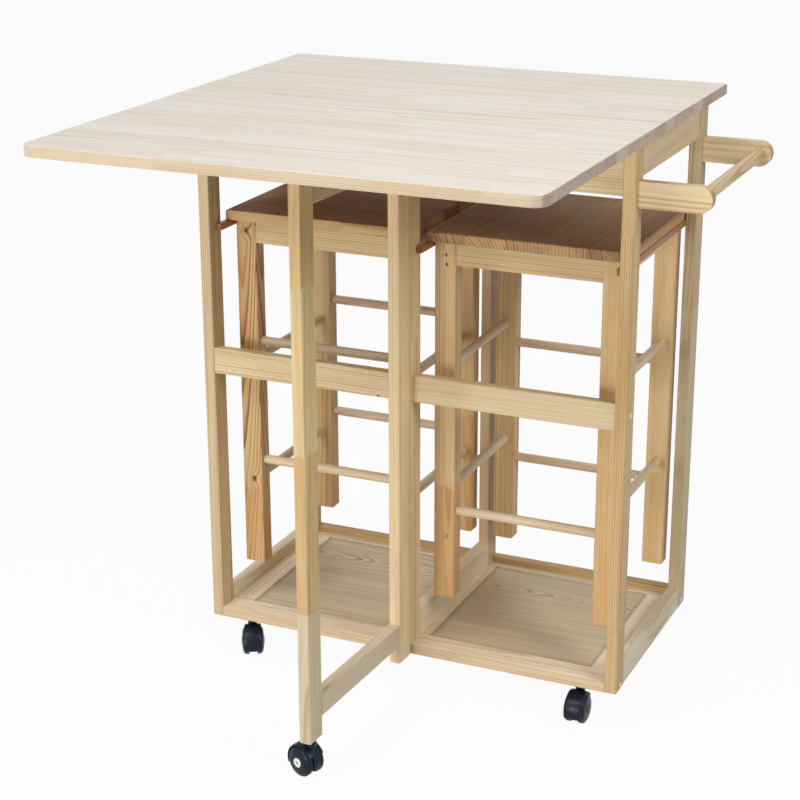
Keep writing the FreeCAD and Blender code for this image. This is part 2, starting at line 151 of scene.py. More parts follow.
def grain_place(tree, cut):
    views = []
    for grain in cut["grains"]:
        spin = grain_turns[grain]
        shift = spin.to_matrix() @ (cut["middle"] * mm_per_metre)
        spot = add(tree, "Mapping", {"Vector": add(tree, "TexCoord", out="Object"), "Location": -shift,
                                     "Rotation": spin, "Scale": (mm_per_metre,) * 3})
        face = add(tree, "Mapping", {"Vector": add(tree, "TexCoord", out="Normal"), "Rotation": spin},
                   vector_type="VECTOR")
        views.append((spot, face))
    if len(views) == 1:
        return views[0]
    sideways, forwards = add(tree, "SeparateXYZ", {0: views[0][0]}).node.outputs[:2]
    sideways = add(tree, "Math", {0: sideways}, operation="ABSOLUTE")
    forwards = add(tree, "Math", {0: forwards}, operation="ABSOLUTE")
    at_side = add(tree, "Math", {0: sideways, 1: forwards}, operation="GREATER_THAN")
    return [add(tree, "Mix", {0: at_side, 4: first, 5: second}, out=1, data_type="VECTOR")
            for first, second in zip(*views)]


print("grain turns", list(grain_turns))

# %% [markdown]
# ## Pine, second step: staves
# Boards are glued up from narrow staves, and long sticks from finger-jointed lengths. White noise
# gives each stave its own three random numbers, which later move its rings and change its tone. The
# fingers of a joint are a zigzag in the thickness, so a joint is a straight line on the face and a
# comb on the edge. An upright has its joints at a set place, which for three of them is where the
# photograph shows it, and in any other piece they start at random.

# %% Rows of staves and their random draws
finger_pitch_mm = 4.0
finger_length_mm = 9.0
# Keeps the draw for a lane's start apart from the draws of its staves
lane_key_shift = 0.5


def in_rows(tree, value, row_mm):
    row = add(tree, "Math", {0: value, 1: row_mm}, operation="DIVIDE")
    row = add(tree, "Math", {0: row}, operation="ROUND")
    return row, add(tree, "Math", {0: row, 1: -row_mm, 2: value}, operation="MULTIPLY_ADD")


def stave_draw(tree, along, lane, layer, deep, cut, seed):
    start = -cut.get("joint", 0.0)
    if "joint" not in cut:
        lane_key = add(tree, "CombineXYZ", {0: lane, 1: layer, 2: seed + lane_key_shift})
        start = add(tree, "TexWhiteNoise", {"Vector": lane_key}, noise_dimensions="3D")
        start = add(tree, "Math", {0: start, 1: cut["stave"]}, operation="MULTIPLY")
    fingers = add(tree, "Math", {0: deep, 1: finger_pitch_mm / 2}, operation="PINGPONG")
    reach = add(tree, "Math", {0: fingers, 1: 2 * finger_length_mm / finger_pitch_mm, 2: along},
                operation="MULTIPLY_ADD")
    reach = add(tree, "Math", {0: reach, 1: start}, operation="ADD")
    stave = add(tree, "Math", {0: reach, 1: cut["stave"]}, operation="DIVIDE")
    stave = add(tree, "Math", {0: stave}, operation="FLOOR")
    key = add(tree, "CombineXYZ", {0: lane, 1: stave, 2: layer})
    key = add(tree, "VectorMath", {0: key, 1: (seed, seed, seed)}, operation="ADD")
    return add(tree, "TexWhiteNoise", {"Vector": key}, out="Color", noise_dimensions="3D")


print("fingers", finger_pitch_mm, "mm apart")

# %% [markdown]
# ## Pine, third step: growth rings
# The pith is a line along the grain, some way off the middle of the piece, and the distance to it is
# counted in rings. A pith that leans against the piece gives the long pointed arches of a flat-sawn
# face. One stool leg shows such arches clearly, so it has a leaning pith of its own, called the flame
# here. A slow noise, stretched along the grain, keeps the rings from being perfectly round.

# %% Distance to the pith
half_draw = (0.5, 0.5, 0.5)
wander_detail = 3.0
wander_jump = 40.0


def streaks(tree, spot, length_mm, width_mm, detail, draw=None, jump=0.0, out=0):
    # Noise stretched along the grain. A stave's draw makes it jump, so that no two staves look alike.
    scale = (1 / length_mm, 1 / width_mm, 1 / width_mm)
    place = add(tree, "VectorMath", {0: spot, 1: scale}, operation="MULTIPLY")
    if draw is not None:
        place = add(tree, "VectorMath", {0: draw, 1: (jump,) * 3, 2: place}, operation="MULTIPLY_ADD")
    return add(tree, "TexNoise", {"Vector": place, "Scale": 1.0, "Detail": detail}, out=out)


def pith_distance(tree, look, spot, along, across, deep, draw, flame):
    centred = add(tree, "VectorMath", {0: draw, 1: half_draw}, operation="SUBTRACT")
    pith = add(tree, "VectorMath", {0: centred, 1: (0, look["pith_spread"], look["pith_spread"]),
                                    2: (0, look["pith_across"], look["pith_deep"])},
               operation="MULTIPLY_ADD")
    swapped = add(tree, "Mapping", {"Vector": centred, "Rotation": (quarter_turn, 0, 0)},
                  vector_type="VECTOR")
    lean = add(tree, "VectorMath", {0: swapped, 1: (0, look["lean_spread"], look["lean_spread"]),
                                    2: (0, look["lean_across"], look["lean_deep"])},
               operation="MULTIPLY_ADD")
    if flame is not None:
        pith = add(tree, "Mix", {0: flame, 4: pith, 5: look["flame_pith"]}, out=1, data_type="VECTOR")
        lean = add(tree, "Mix", {0: flame, 4: lean, 5: look["flame_lean"]}, out=1, data_type="VECTOR")
    sway = add(tree, "VectorMath", {0: lean, "Scale": along}, operation="SCALE")
    wander = streaks(tree, spot, look["wander_length"], look["wander_width"], wander_detail, draw,
                     wander_jump, "Color")
    wander = add(tree, "VectorMath", {0: wander, 1: half_draw}, operation="SUBTRACT")
    away = add(tree, "CombineXYZ", {1: across, 2: deep})
    away = add(tree, "VectorMath", {0: away, 1: pith}, operation="SUBTRACT")
    away = add(tree, "VectorMath", {0: away, 1: sway}, operation="ADD")
    away = add(tree, "VectorMath", {0: wander, 1: (look["wander"],) * 3, 2: away}, operation="MULTIPLY_ADD")
    away = add(tree, "VectorMath", {0: away, 1: (0, 1, 1)}, operation="MULTIPLY")
    return add(tree, "VectorMath", {0: away}, out="Value", operation="LENGTH")


print("a stave's noise jumps by up to", wander_jump, "cells")

# %% [markdown]
# ## Pine, fourth step: knots and late wood
# A knot has a dark core and pushes the rings aside round it, and it is a little longer along the grain
# than across. Within each ring the wood goes slowly from pale early wood to dark late wood and then
# drops back, and some years are fainter than others.

# %% Knots and years
knot_stretch = 1.4
knot_strength = 0.9
knot_core_shares = (0.4, 1.15)
knot_push_shares = (0.5, 3.4)
knot_push_rings = 1.1
late_wood_shares = (0.3, 0.86)
ring_end_shares = (0.9, 1.0)
faint_year_share = 0.2
years_per_draw = 100.0


def with_knots(tree, look, spot, distance, knots):
    heart = None
    for along_mm, across_mm, deep_mm, radius_mm in knots:
        middle = (along_mm, across_mm or 0, deep_mm or 0)
        reach = (1 / knot_stretch, 0 if across_mm is None else 1, 0 if deep_mm is None else 1)
        away = add(tree, "VectorMath", {0: spot, 1: middle}, operation="SUBTRACT")
        away = add(tree, "VectorMath", {0: away, 1: reach}, operation="MULTIPLY")
        away = add(tree, "VectorMath", {0: away}, out="Value", operation="LENGTH")
        push_from, push_to = [radius_mm * share for share in knot_push_shares]
        push_mm = look["ring"] * knot_push_rings
        push = add(tree, "MapRange", {0: away, 1: push_from, 2: push_to, 3: push_mm, 4: 0.0},
                   interpolation_type="SMOOTHSTEP")
        distance = add(tree, "Math", {0: distance, 1: push}, operation="ADD")
        core_from, core_to = [radius_mm * share for share in knot_core_shares]
        core = add(tree, "MapRange", {0: away, 1: core_from, 2: core_to, 3: knot_strength, 4: 0.0},
                   interpolation_type="SMOOTHSTEP")
        heart = core if heart is None else add(tree, "Math", {0: heart, 1: core}, operation="MAXIMUM")
    return distance, heart


def late_wood(tree, look, distance, ring_draw):
    years = add(tree, "Math", {0: distance, 1: look["ring"]}, operation="DIVIDE")
    year = add(tree, "Math", {0: years}, operation="FLOOR")
    season = add(tree, "Math", {0: years}, operation="FRACT")
    year_key = add(tree, "Math", {0: ring_draw, 1: years_per_draw, 2: year}, operation="MULTIPLY_ADD")
    year_draw = add(tree, "TexWhiteNoise", {"W": year_key}, noise_dimensions="1D")
    late = add(tree, "MapRange", {0: season, 1: late_wood_shares[0], 2: late_wood_shares[1]},
               interpolation_type="SMOOTHSTEP")
    drop = add(tree, "MapRange", {0: season, 1: ring_end_shares[0], 2: ring_end_shares[1], 3: 1.0, 4: 0.0},
               interpolation_type="SMOOTHSTEP")
    late = add(tree, "Math", {0: late, 1: drop}, operation="MULTIPLY")
    strength = add(tree, "MapRange", {0: year_draw, 3: faint_year_share, 4: 1.0})
    return add(tree, "Math", {0: late, 1: strength}, operation="MULTIPLY")


print("knots are", knot_stretch, "times longer than wide")

# %% [markdown]
# ## Pine, fifth step: fibres and facing
# Close up, planed pine has fine fibres along the grain, and its tone drifts slowly from place to place.
# Both are noise stretched along the grain. A sawn end takes lacquer differently from the broad face. The
# faces that look across the grain, such as a board's long edges, get painted light and shade: darker on the
# top, the tray's front board and the gate leg, paler on the seats. So the facing is measured along and across
# the grain too. All that is known about a point of the wood is then gathered under plain names.

# %% Measure the wood at a point
# Single fibres are finer than this. They are drawn as coarse as they need to show.
fibre_length_mm = 40.0
fibre_width_mm = 1.1
fibre_detail = 3.0
drift_length_mm = 260.0
drift_width_mm = 20.0
drift_detail = 2.0
drift_jump = 30.0
drift_levels = (0.38, 0.68)
facing_levels = (0.6, 0.85)
same_row = 0.5


def facing(tree, face, axis):
    square = add(tree, "SeparateXYZ", {0: face}, out=axis)
    square = add(tree, "Math", {0: square}, operation="ABSOLUTE")
    return add(tree, "MapRange", {0: square, 1: facing_levels[0], 2: facing_levels[1]},
               interpolation_type="SMOOTHSTEP")


def measured(tree, look, cut, seed):
    spot, face = grain_place(tree, cut)
    along, wide, thick = add(tree, "SeparateXYZ", {0: spot}).node.outputs
    lane, across = in_rows(tree, wide, cut["lane"])
    layer, deep = in_rows(tree, thick, cut["layer"])
    draw = stave_draw(tree, along, lane, layer, thick, cut, seed)
    ring_draw, contrast_draw, warm_draw = add(tree, "SeparateXYZ", {0: draw}).node.outputs
    flame = None
    if "flame_row" in cut:
        at_lane = add(tree, "Math", {0: lane, 1: cut["flame_row"][0], 2: same_row}, operation="COMPARE")
        at_layer = add(tree, "Math", {0: layer, 1: cut["flame_row"][1], 2: same_row}, operation="COMPARE")
        flame = add(tree, "Math", {0: at_lane, 1: at_layer}, operation="MULTIPLY")
    distance = pith_distance(tree, look, spot, along, across, deep, draw, flame)
    distance, heart = with_knots(tree, look, spot, distance, cut["knots"])
    drift = streaks(tree, spot, drift_length_mm, drift_width_mm, drift_detail, draw, drift_jump)
    return {
        "along": along, "wide": wide, "across": across, "flame": flame, "heart": heart,
        "contrast_draw": contrast_draw, "warm_draw": warm_draw,
        "late": late_wood(tree, look, distance, ring_draw),
        "fibre": streaks(tree, spot, fibre_length_mm, fibre_width_mm, fibre_detail),
        "drift": add(tree, "MapRange", {0: drift, 1: drift_levels[0], 2: drift_levels[1]},
                     interpolation_type="SMOOTHSTEP"),
        "end": facing(tree, face, 0),
        "edge": facing(tree, face, 1),
    }


print("fibres are", fibre_length_mm, "by", fibre_width_mm, "mm")

# %% [markdown]
# ## Pine, sixth step: colour
# Early wood lies between two pale tones, some streaks blush towards heart wood, and late wood is
# darker. A sawn end shows its rings more strongly than a planed face. Ends have a tint of their own,
# because lacquer soaks in there in another way; on the seats that tint is raised above one, a painted light.
# Board edges get a tint of painted light and shade.

# %% Colour of the faces, ends and edges
fibre_levels = (0.3, 0.7)
fibre_tone_shares = (0.95, 1.03)
end_tone_shares = (1.2, 0.75)
end_contrast = 0.35


def face_colour(tree, look, cut, wood):
    early, early_warm = linear(look["early"]), linear(look["early_warm"])
    colour = add(tree, "Mix", {0: wood["warm_draw"], 6: early, 7: early_warm}, out=2, data_type="RGBA")
    blush = add(tree, "Math", {0: wood["drift"], 1: look["blush_share"]}, operation="MULTIPLY")
    colour = add(tree, "Mix", {0: blush, 6: colour, 7: linear(look["blush"])}, out=2, data_type="RGBA")
    calm = look["contrast"] * look["calm_share"]
    contrast = add(tree, "MapRange", {0: wood["contrast_draw"], 3: calm, 4: look["contrast"]})
    contrast = add(tree, "Math", {0: wood["end"], 1: end_contrast, 2: contrast}, operation="MULTIPLY_ADD")
    if wood["flame"] is not None:
        plainer = add(tree, "MapRange", {0: wood["flame"], 3: look["plain_share"], 4: 1.0})
        contrast = add(tree, "Math", {0: contrast, 1: plainer}, operation="MULTIPLY")
    late_share = add(tree, "Math", {0: wood["late"], 1: contrast}, operation="MULTIPLY")
    colour = add(tree, "Mix", {0: late_share, 6: colour, 7: linear(look["late"])}, out=2, data_type="RGBA")
    # The tone share is partly painted light and shade: pieces in shade are painted paler, pieces in open
    # light darker
    dull, bright = [share * cut["tone"] for share in fibre_tone_shares]
    fibre_tone = add(tree, "MapRange", {0: wood["fibre"], 1: fibre_levels[0], 2: fibre_levels[1],
                                        3: dull, 4: bright})
    return add(tree, "VectorMath", {0: colour, "Scale": fibre_tone}, operation="SCALE")


# Ends get the end-grain tint, on the seats also a painted light. Edges get painted light and shade: darker on
# the top, front board and gate leg, paler on the seats
def end_and_painted_edge_colour(tree, look, wood, colour):
    end_tone = add(tree, "MapRange", {0: wood["contrast_draw"], 3: end_tone_shares[0], 4: end_tone_shares[1]})
    end_colour = add(tree, "VectorMath", {0: colour, 1: look["end_tint"]}, operation="MULTIPLY")
    end_colour = add(tree, "VectorMath", {0: end_colour, "Scale": end_tone}, operation="SCALE")
    colour = add(tree, "Mix", {0: wood["end"], 6: colour, 7: end_colour}, out=2, data_type="RGBA")
    painted_edge_light_colour = add(tree, "VectorMath", {0: colour, 1: look["edge_tint"]}, operation="MULTIPLY")
    return add(tree, "Mix", {0: wood["edge"], 6: colour, 7: painted_edge_light_colour}, out=2, data_type="RGBA")


print("fibre tones", fibre_tone_shares)

# %% [markdown]
# ## Pine, seventh step: marks in the colour
# Knots darken the wood, and a thin glue line shows between staves. A tray panel is painted darker along
# its rim, a painted shade for the shadow that the boards round it cast. A stick can also be jointed from
# lengths of paler stock, as the gate leg is.

# %% Knots, glue lines, painted rim shade and pale lengths
glue_width_mm = 0.6
glue_tone_share = 0.86
painted_rim_shade_mm = 1.5
painted_rim_shade_share = 0.82


# Painted shade: the colour darkens towards the panel's rim, where the boards round it cast their shadow
def painted_rim_shade(tree, wood, colour, half_sizes):
    gaps = []
    for value, half in zip((wood["along"], wood["wide"]), half_sizes):
        value = add(tree, "Math", {0: value}, operation="ABSOLUTE")
        gaps.append(add(tree, "Math", {0: half, 1: value}, operation="SUBTRACT"))
    gap = add(tree, "Math", {0: gaps[0], 1: gaps[1]}, operation="MINIMUM")
    tone = add(tree, "MapRange", {0: gap, 1: 0.0, 2: painted_rim_shade_mm, 3: painted_rim_shade_share, 4: 1.0},
               interpolation_type="SMOOTHSTEP")
    return add(tree, "VectorMath", {0: colour, "Scale": tone}, operation="SCALE")


def marked_colour(tree, look, cut, wood, colour):
    if wood["heart"] is not None:
        knot = linear(look["knot"])
        colour = add(tree, "Mix", {0: wood["heart"], 6: colour, 7: knot}, out=2, data_type="RGBA")
    from_middle = add(tree, "Math", {0: wood["across"]}, operation="ABSOLUTE")
    joint = cut["lane"] / 2
    glue = add(tree, "MapRange", {0: from_middle, 1: joint - glue_width_mm, 2: joint, 3: 1.0,
                                  4: glue_tone_share})
    colour = add(tree, "VectorMath", {0: colour, "Scale": glue}, operation="SCALE")
    # Painted shade along a tray panel's rim
    if "rim" in cut:
        colour = painted_rim_shade(tree, wood, colour, cut["rim"])
    for middle_mm, half_mm, tint in cut["pale_lengths"]:
        inside = add(tree, "Math", {0: wood["along"], 1: middle_mm, 2: half_mm}, operation="COMPARE")
        paler = add(tree, "VectorMath", {0: colour, 1: tint}, operation="MULTIPLY")
        colour = add(tree, "Mix", {0: inside, 6: colour, 7: paler}, out=2, data_type="RGBA")
    return colour


print("glue lines are", glue_width_mm, "mm wide")

# %% [markdown]
# ## Pine, last step: lacquer
# The lacquer is a thin satin coat that follows the fibres. So the highlight is soft and a little
# streaky, and the surface is only just uneven, with the late wood standing a trace higher.

# %% The pine material
lacquer_ior = 1.45
smoother = 0.05
rougher = 0.08
late_wood_height = 0.5
fibre_bump_strength = 0.2
fibre_bump_metres = 0.0003


def pine(name, look, cut, seed):
    # Planed pine under satin lacquer: pale and dark streaks lie under a soft, even sheen
    material = bpy.data.materials.new(name)
    material.use_nodes = True
    tree = material.node_tree
    wood = measured(tree, look, cut, seed)
    colour = face_colour(tree, look, cut, wood)
    colour = end_and_painted_edge_colour(tree, look, wood, colour)
    colour = marked_colour(tree, look, cut, wood, colour)
    height = add(tree, "Math", {0: wood["late"], 1: late_wood_height, 2: wood["fibre"]},
                 operation="MULTIPLY_ADD")
    bump = add(tree, "Bump", {"Strength": fibre_bump_strength, "Distance": fibre_bump_metres,
                              "Height": height})
    gloss = add(tree, "MapRange", {0: wood["fibre"], 1: fibre_levels[0], 2: fibre_levels[1],
                                   3: look["roughness"] - smoother, 4: look["roughness"] + rougher})
    shader = tree.nodes["Principled BSDF"]
    tree.links.new(colour, shader.inputs["Base Color"])
    tree.links.new(gloss, shader.inputs["Roughness"])
    tree.links.new(bump, shader.inputs["Normal"])
    shader.inputs["IOR"].default_value = lacquer_ior
    shader.inputs["Specular IOR Level"].default_value = look["sheen_level"]
    return material


print("pine ready")

# %% [markdown]
# ## Looks of the table's boards and sticks
# All the pine is the same species, but the pale edge-glued top, the straight-grained frame and the
# greyer plywood of the tray were clearly cut from different stock. A look holds the colours, and the
# size of the figure in millimetres. Each look starts from another one and says only what differs.

# %% Looks of the table
untinted = (1.0, 1.0, 1.0)
top_look = {
    "early": "eae7de", "early_warm": "e9e1d2", "late": "c8ac94", "blush": "e2cebb", "knot": "4e2b10",
    "blush_share": 0.55, "contrast": 0.7, "calm_share": 0.2,
    "ring": 3.4, "pith_across": 6, "pith_deep": -55, "pith_spread": 70,
    "lean_across": 0.0, "lean_deep": 0.0, "lean_spread": 0.03,
    "wander": 6.0, "wander_length": 500, "wander_width": 60,
    "roughness": 0.45, "sheen_level": 0.3,
    # Painted shade: the edge tint paints the top's long edges darker and more orange than its face
    "end_tint": (0.66, 0.58, 0.53), "edge_tint": (0.78, 0.68, 0.54),
}
frame_look = dict(top_look, early="e4d2ab", early_warm="dec59a", late="aa7f4a", blush="d6b288",
                  contrast=0.75, calm_share=0.5, ring=3.0, pith_across=4, pith_deep=-40,
                  end_tint=(0.78, 0.72, 0.64), edge_tint=untinted)
warm_look = dict(frame_look, early="e4c893", early_warm="dab279", late="a2733a", blush="d0a268")
# Painted shade: the edge tint darkens the gate leg's front and back faces
gate_look = dict(warm_look, early="ecd8a3", early_warm="e2c186", late="a77d40", blush="d7af73",
                 edge_tint=(0.92, 0.83, 0.8))
arm_look = dict(frame_look, ring=6.5, contrast=0.8, pith_deep=10, pith_across=-45)
tray_look = dict(frame_look, early="eee4cc", early_warm="e9dbbe", late="c2a379", blush="e2cba8")
# Painted shade: the edge tint darkens the front board's long edges
front_board_look = dict(tray_look, edge_tint=(0.83, 0.74, 0.64))
back_rail_look = dict(frame_look, early="d4ba88", early_warm="caa56e", late="96682f", blush="c0945e")
# Painted shade: the runners are painted dark reddish brown for the shade they sit in under the top
painted_shade_runner_look = dict(frame_look, early="b98a5c", early_warm="a9784a", late="7a4e2a", blush="9a6a40")
panel_look = dict(top_look, early="e0d3b6", early_warm="dacaa9", late="8f754b", blush="d0bc96",
                  contrast=0.8, calm_share=0.6, ring=3.0, pith_across=72, pith_deep=-24, pith_spread=14,
                  lean_deep=0.1, lean_spread=0.02, wander=8.0, wander_length=120, wander_width=40,
                  roughness=0.55, edge_tint=untinted)
print("a look has", len(top_look), "values")

# %% [markdown]
# ## Looks of the stools
# The stools are more orange than the table. Their seats are painted brown, a painted shade for the deep
# shade under the table top, and tints above one paint their ends and edges pale again, a painted light.
# One leg of the left stool has the flame. The right seat is painted a little greyer than the left, a painted
# reflection of the white background in its sheen.

# %% Looks of the stools
stool_look = dict(frame_look, early="e6cd9c", early_warm="dcb57e", late="a06f36", blush="d4a56c",
                  contrast=0.85, ring=3.6)
apron_look = dict(stool_look, early="e8d3a6", early_warm="e0c593", late="b18650", blush="d8b07c")
rung_look = dict(stool_look, early="f0e0c4", early_warm="e6ceac", late="bf9868", blush="dabb94",
                 contrast=0.55)
flame_look = dict(stool_look, late="9e642a", blush="d09a5e", contrast=1.0, plain_share=0.55,
                  flame_pith=(0, 12, 15), flame_lean=(0, 0.04, 0.035), wander=5.0, wander_length=260)
# Painted shade and light: the brown stands in for the shade under the table top, and end and edge tints above
# one paint the ends and edges pale
painted_shade_seat_look = dict(stool_look, early="b88b62", early_warm="ac7f57", late="72492b", blush="9c6e4b",
                 contrast=0.8, ring=5.0, pith_across=60, pith_deep=-24, pith_spread=50,
                 roughness=0.6, sheen_level=0.06, end_tint=(1.45, 1.7, 1.9), edge_tint=(1.88, 2.42, 2.7))
# Painted reflection: the greyer colours stand in for the white background reflected in the right seat's sheen
painted_shade_and_sheen_seat_look = dict(painted_shade_seat_look, early="b4916f", early_warm="a98563", late="704d32", blush="997455",
                      end_tint=(1.48, 1.53, 1.48), edge_tint=(1.84, 1.91, 1.91))
print("rings of the seats are", painted_shade_seat_look["ring"], "mm apart")

# %% [markdown]
# ## Marks on single pieces
# Some marks in the photograph belong to one stick only: finger joints in three uprights, paler lengths
# in the gate leg, and a few knots. Each has its place in millimetres from the middle of its piece. Some
# pieces are also a little darker or paler than others of the same stock, which a tone share gives. Most
# tone shares are painted light and shade: pieces in shade under the top or inside the tray are painted
# paler, and pieces in open light are painted darker.

# %% Joints, pale lengths, tones and knots
# Length of the jointed pieces, and the place of one joint
plain_post_joint = (520.0, 90.0)
post_joints = {"post_front_right": (577.0, -301.5), "gate_swing_leg": (225.0, -204.0),
               "gate_pivot_post": (620.0, -217.0)}
# Middle, half length and tint
pale_lengths = {"gate_swing_leg": [(233.0, 217.0, (1.06, 1.16, 1.28)), (-359.0, 150.0, (1.03, 1.3, 1.95))]}
# Mostly painted light and shade: shares above one brighten pieces in shade, shares below one darken pieces in
# open light
tone_and_painted_light_shares = {
    "post_front_left": 0.92, "post_front_right": 0.92, "post_front_centre": 1.08, "post_back_right": 0.85,
    "gate_swing_leg": 0.92, "gate_pivot_post": 1.18, "gate_top_rail": 0.85, "gate_bottom_rail": 0.9,
    "mid_rail_left": 1.05, "mid_rail_right": 1.02, "tray_front_board_left": 1.12,
    "tray_front_board_right": 1.12, "tray_side_rail_left": 1.12, "tray_centre_beam": 1.12,
    "tray_stiles": 1.12, "stool_right_legs": 1.05,
}
# Place along, across and deep, then the radius. A place of None lets a knot run right through.
leg_front_mm = -135.0
stick_knots = {
    "stool_left_legs": [(259.0, leg_front_mm, 125.5, 4.2), (-136.5, leg_front_mm, 123.0, 4.4)],
    "stool_right_legs": [(256.0, leg_front_mm, 124.0, 2.4), (242.0, leg_front_mm, 123.0, 2.6),
                         (-177.0, leg_front_mm, 121.0, 2.0)],
    "mid_rail_left": [(117.0, None, -18.0, 2.0)],
}
print("pieces with knots", list(stick_knots))

# %% [markdown]
# ## Which way each piece's grain runs
# A joiner always lays the grain along the length of a piece. The fixed top and the leaf are glued up
# along the table's length, posts stand with the grain upright, and side pieces run front to back. The
# stock comes first: the wood of each kind of piece, and the width and length of its staves.

# %% Stock
# All sizes are in millimetres. One layer is thicker than any piece. Longer staves show fewer joints.
one_length = 900.0
jointed_length = 600.0
one_layer = 1000.0
top_stave = (46.0, 430.0)
post_lane = 60.0
panel_sheet = (2000.0, 4000.0)
panel_lap = 6.0
stool_lane = 128.0
stool_layer = 37.0
leg_lane = 122.0
leg_layer = 125.5
seat_lane = 60.0
# Lane and layer of the leg with the flame
flame_leg = (-1, 1)
# How the names start, then the look, the grain, and the width and length of the staves
level_stock = [
    (("apron_side", "gate_top_rail", "towel_bar"), frame_look, "Y", 80.0, one_length),
    (("tray_side", "tray_centre", "tray_stiles", "gate_bottom_rail"), tray_look, "Y", 100.0, one_length),
    (("seat_runners",), painted_shade_runner_look, "Y", 100.0, one_length),
    (("apron_front", "apron_back", "mid_rail"), frame_look, "X", 90.0, jointed_length),
    (("tray_front_board",), front_board_look, "X", 90.0, jointed_length),
    (("tray_back_board",), tray_look, "X", 90.0, jointed_length),
    (("tray_back_rail",), back_rail_look, "X", 90.0, jointed_length),
    (("towel_arm",), arm_look, "X", 90.0, one_length),
]
post_looks = {"post_front_right": warm_look, "gate_swing_leg": gate_look}
print("kinds of level stock", len(level_stock))

# %% [markdown]
# The cutting list gives each node its look and its cut. Legs, aprons and rungs come as groups of sticks,
# so there the width and thickness of a stave set the sticks apart, and one leg is picked out for the
# flame.

# %% Cutting list
def cut_of(name, grains, lane, stave, layer=one_layer, **extra):
    low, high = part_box(name)
    return dict(extra, grains=grains, middle=(low + high) / 2, lane=lane, stave=stave, layer=layer,
                tone=tone_and_painted_light_shares.get(name, 1.0), knots=stick_knots.get(name, ()),
                pale_lengths=pale_lengths.get(name, ()))


wood_plan = [(name, top_look, cut_of(name, "X", *top_stave)) for name in ("top_fixed", "leaf")]
for name in nodes:
    if name.startswith("post_") or name in post_joints:
        stave, joint = post_joints.get(name, plain_post_joint)
        look = post_looks.get(name, frame_look)
        wood_plan.append((name, look, cut_of(name, "Z", post_lane, stave, joint=joint)))
    for starts, look, grain, lane, stave in level_stock:
        if name.startswith(starts):
            wood_plan.append((name, look, cut_of(name, grain, lane, stave)))
    if name.startswith("tray_panel"):
        low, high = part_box(name)
        rim = [size * mm_per_metre / 2 - panel_lap for size in (high - low)[:2]]
        wood_plan.append((name, panel_look, cut_of(name, "X", *panel_sheet, rim=rim)))
    for ending, look in (("_aprons", apron_look), ("_rungs", rung_look)):
        if name.endswith(ending):
            wood_plan.append((name, look, cut_of(name, "XY", stool_lane, one_length, stool_layer)))
for name, look, extra in (("stool_left_legs", flame_look, {"flame_row": flame_leg}),
                          ("stool_right_legs", stool_look, {})):
    wood_plan.append((name, look, cut_of(name, "Z", leg_lane, one_length, leg_layer, **extra)))
for name, look, grain in (("stool_left_seat", painted_shade_seat_look, "X"), ("stool_right_seat", painted_shade_and_sheen_seat_look, "Y")):
    wood_plan.append((name, look, cut_of(name, grain, seat_lane, one_length)))
print("wooden nodes", len(wood_plan))

# %% [markdown]
# The list is then worked through: each node gets a material of its own, so that no two pieces show the
# same figure. The solids themselves stay as they are.

# %% Dress the wooden pieces
def dress(name, material):
    piece = nodes[name]
    piece.data.materials.clear()
    piece.data.materials.append(material)


for seed, (name, look, cut) in enumerate(wood_plan):
    dress(name, pine("pine_planed_" + name, look, cut, seed))
print("dressed", len(wood_plan))

# %% [markdown]
# ## Plastic and steel
# The casters are moulded black nylon, the screw caps white polystyrene, and the hinges zinc-plated
# steel. Each gets a fine grain and a slow cloud of a second tone, so no surface is one flat colour.

# %% Plastic and steel materials
cloud_grits = 30
grit_levels = (0.3, 0.7)
grit_roughness = 0.06
grit_detail = 2.0
grit_bump_strength = 0.15
grit_bump_metres = 0.0002


def fine_grained(name, colour, cloud_colour, roughness, grit_mm, constants):
    material = bpy.data.materials.new(name)
    material.use_nodes = True
    tree = material.node_tree
    place = add(tree, "TexCoord", out="Object")
    grit_scale = mm_per_metre / grit_mm
    grit = add(tree, "TexNoise", {"Vector": place, "Scale": grit_scale, "Detail": grit_detail})
    cloud = add(tree, "TexNoise", {"Vector": place, "Scale": grit_scale / cloud_grits, "Detail": grit_detail})
    mixed = add(tree, "Mix", {0: cloud, 6: linear(colour), 7: linear(cloud_colour)}, out=2, data_type="RGBA")
    gloss = add(tree, "MapRange", {0: grit, 1: grit_levels[0], 2: grit_levels[1],
                                   3: roughness - grit_roughness, 4: roughness + grit_roughness})
    bump = add(tree, "Bump", {"Strength": grit_bump_strength, "Distance": grit_bump_metres, "Height": grit})
    shader = tree.nodes["Principled BSDF"]
    tree.links.new(mixed, shader.inputs["Base Color"])
    tree.links.new(gloss, shader.inputs["Roughness"])
    tree.links.new(bump, shader.inputs["Normal"])
    for socket, value in constants.items():
        shader.inputs[socket].default_value = value
    return material


# The grain of a mould or of plating is finer than these grits. They are drawn as coarse as they need to
# show. Nylon from a smooth mould is nearly black with a cool cast, and its highlights are soft and weak.
black_nylon = fine_grained("black_nylon_moulded", "0d1220", "151c2e", 0.34, 0.8, {"Specular IOR Level": 0.22})
# Moulded polystyrene is a clean, cool white with a soft sheen
white_cap = fine_grained("white_polystyrene_moulded", "f3f3f5", "e8e8eb", 0.4, 0.8, {})
# Zinc plate is a pale grey metal, slightly clouded, that reflects without being a mirror
zinc = fine_grained("zinc_plated_steel", "a9a8a2", "8f8e88", 0.35, 0.6, {"Metallic": 1.0})
for name in nodes:
    if name.startswith("caster_"):
        dress(name, black_nylon)
    if "hinge_" in name:
        dress(name, zinc)
dress("screw_caps", white_cap)
print("plastic and steel", [material.name for material in (black_nylon, white_cap, zinc)])

# %% [markdown]
# ## Turned shapes
# Everything on a caster is round about some axis: wheels, caps, hood, collar. So one function draws an
# outline beside an axis and spins it. A full turn starts and ends on the same place, where the ends are
# merged. A part of a turn needs an outline that closes on itself, and leaves its two ends open.

